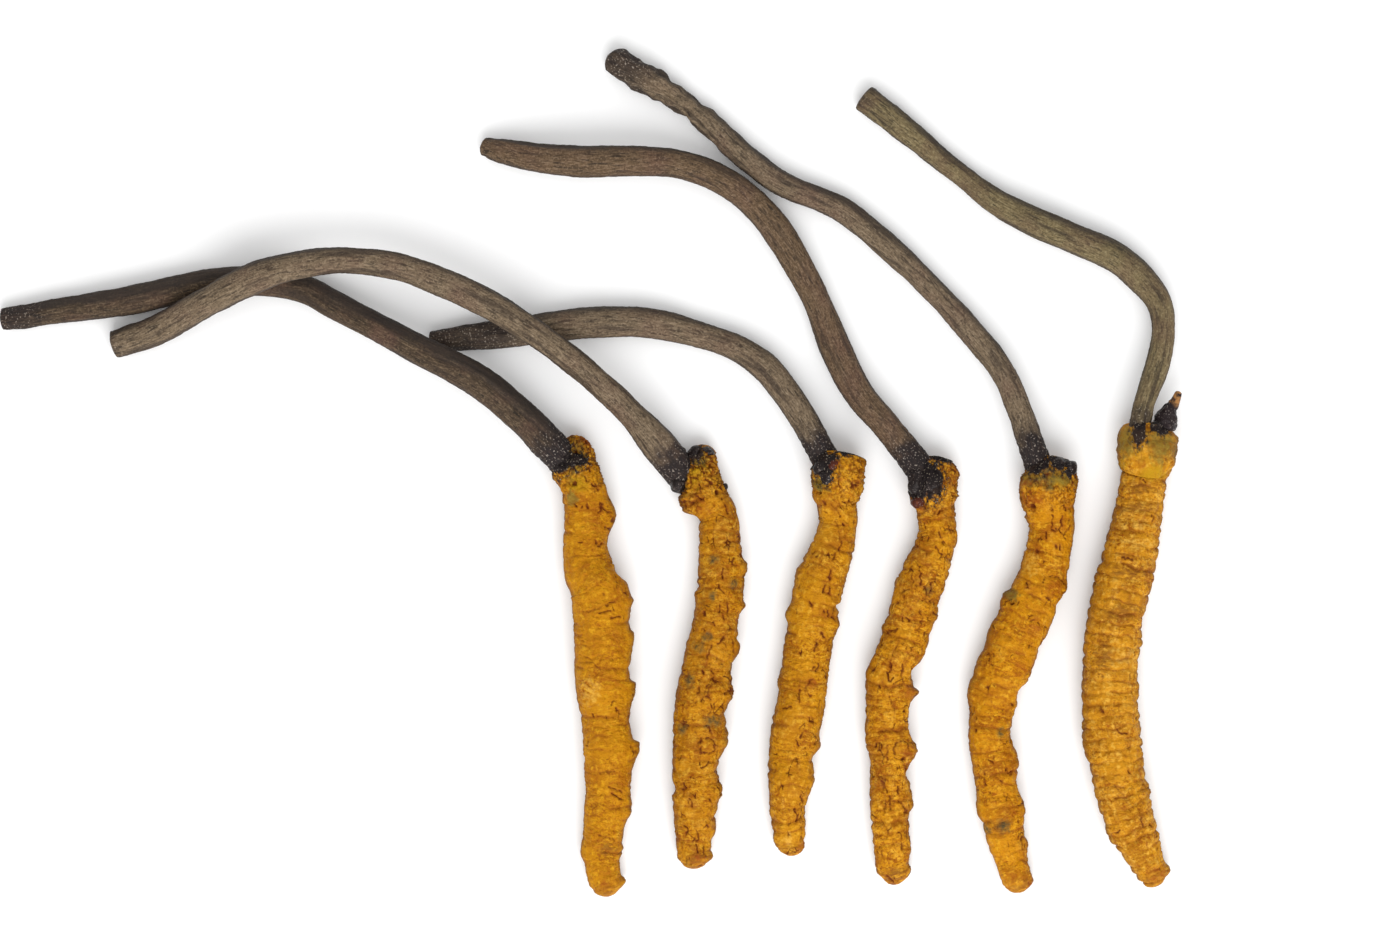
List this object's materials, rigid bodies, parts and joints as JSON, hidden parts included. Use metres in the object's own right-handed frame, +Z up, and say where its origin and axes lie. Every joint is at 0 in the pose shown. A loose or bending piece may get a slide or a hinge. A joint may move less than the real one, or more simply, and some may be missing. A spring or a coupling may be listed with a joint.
{
  "type": "cordyceps bundle",
  "caption": "Bundle of dried cordyceps fungi lying side by side: ringed golden larva bodies with long curved grey-brown stems grown from their heads.",
  "frame": {"origin": "middle of the bundle's bounding box, on the surface that it lies on", "axes": "+Z up off the surface, +Y from the tails towards the heads, +X from the stems' free tips towards the sixth larva"},
  "size_m": [0.1182, 0.085, 0.0059],
  "materials": {
    "dried_skin": "satin",
    "dried_stem": "matte",
    "dark_stub": "matte"
  },
  "bodies": {
    "root": {"larva_1": "dried_skin", "larva_2": "dried_skin", "larva_3": "dried_skin", "larva_4": "dried_skin", "larva_5": "dried_skin", "larva_6": "dried_skin", "stem_1": "dried_stem", "stem_2": "dried_stem", "stem_3": "dried_stem", "stem_4": "dried_stem", "stem_5": "dried_stem", "stem_6": "dried_stem", "stub_6": "dark_stub"}
  },
  "joints": []
}
